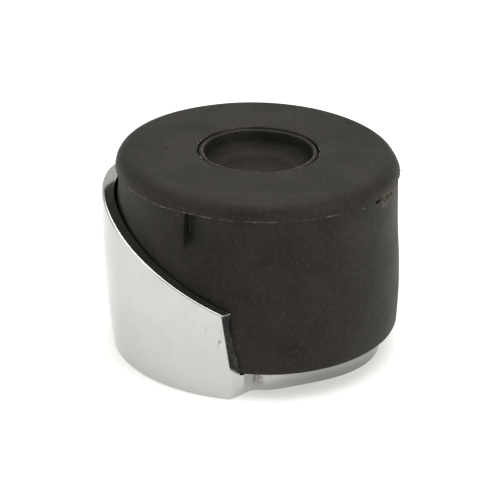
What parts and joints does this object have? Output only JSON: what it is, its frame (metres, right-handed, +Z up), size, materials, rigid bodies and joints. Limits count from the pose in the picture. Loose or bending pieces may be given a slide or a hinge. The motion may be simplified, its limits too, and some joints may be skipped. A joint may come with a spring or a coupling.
{
  "type": "floor door stop",
  "caption": "Round black rubber floor door stop in a polished metal base with a half-round guard wall, fixed through its centre by a capped screw.",
  "frame": {"origin": "centre of the fixing hole at the floor plane, on the axis of the rubber buffer", "axes": "+Z up from the floor along the buffer's axis, -X towards the middle of the guard wall, +X towards the bare side that the door meets, +Y along the line between the guard's two ends"},
  "size_m": [0.0536, 0.055, 0.0369],
  "materials": {
    "polished_casting": "bright chrome plate on a polished zinc casting",
    "buffer_rubber": "matt moulded black rubber with light bloom",
    "cap_rubber": "matt moulded black rubber",
    "zinc_steel": "bright zinc plate"
  },
  "bodies": {
    "base": {"base_casting": "polished_casting", "rubber_buffer": "buffer_rubber"},
    "cap": {"cover_cap": "cap_rubber"},
    "washer": {"screw_washer": "zinc_steel"},
    "screw": {"fixing_screw": "zinc_steel"}
  },
  "joints": [
    {"name": "cap_pull", "type": "slide", "parent": "base", "child": "cap", "axis": [0, 0, 1], "range_m": [0, 0.012]},
    {"name": "washer_travel", "type": "slide", "parent": "base", "child": "washer", "axis": [0, 0, -1], "range_m": [0, 0.0183]},
    {"name": "screw_turn", "type": "hinge", "parent": "washer", "child": "screw", "pos_m": [0, 0, 0.0279], "axis": [0, 0, -1], "range_deg": [0, 2746]}
  ],
  "couplings": [
    {"joint": "screw_turn", "follows": "washer_travel", "rad_per_m": 2618}
  ]
}
